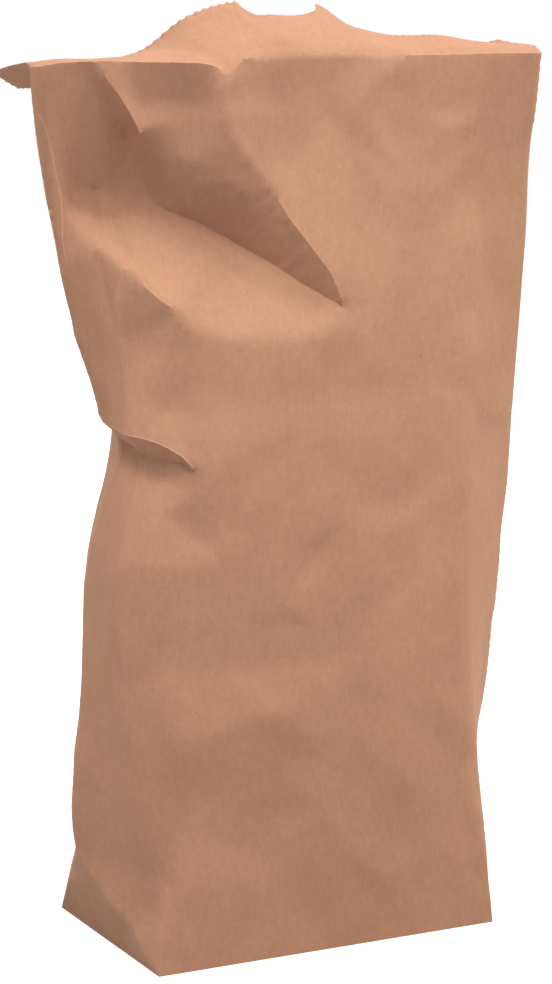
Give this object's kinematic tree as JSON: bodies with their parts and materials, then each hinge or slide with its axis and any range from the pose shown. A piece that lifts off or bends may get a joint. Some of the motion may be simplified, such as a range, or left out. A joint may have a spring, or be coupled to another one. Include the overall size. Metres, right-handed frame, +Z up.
{
  "type": "brown paper lunch bag",
  "caption": "Folded kraft paper lunch bag standing on its flat base, crushed at one side, with its saw-cut mouth folded back once and a thumb notch in the front",
  "frame": {"origin": "middle of the base's underside, on the surface that the bag stands on", "axes": "+Z up; the front with the thumb notch faces -Y; the crushed side is at -X"},
  "size_m": [0.1913, 0.0912, 0.3208],
  "materials": {
    "kraft_paper": "dull unbleached brown paper with fine fibres and a soft crumpled grain"
  },
  "bodies": {
    "root": {"bag": "kraft_paper"}
  },
  "joints": []
}
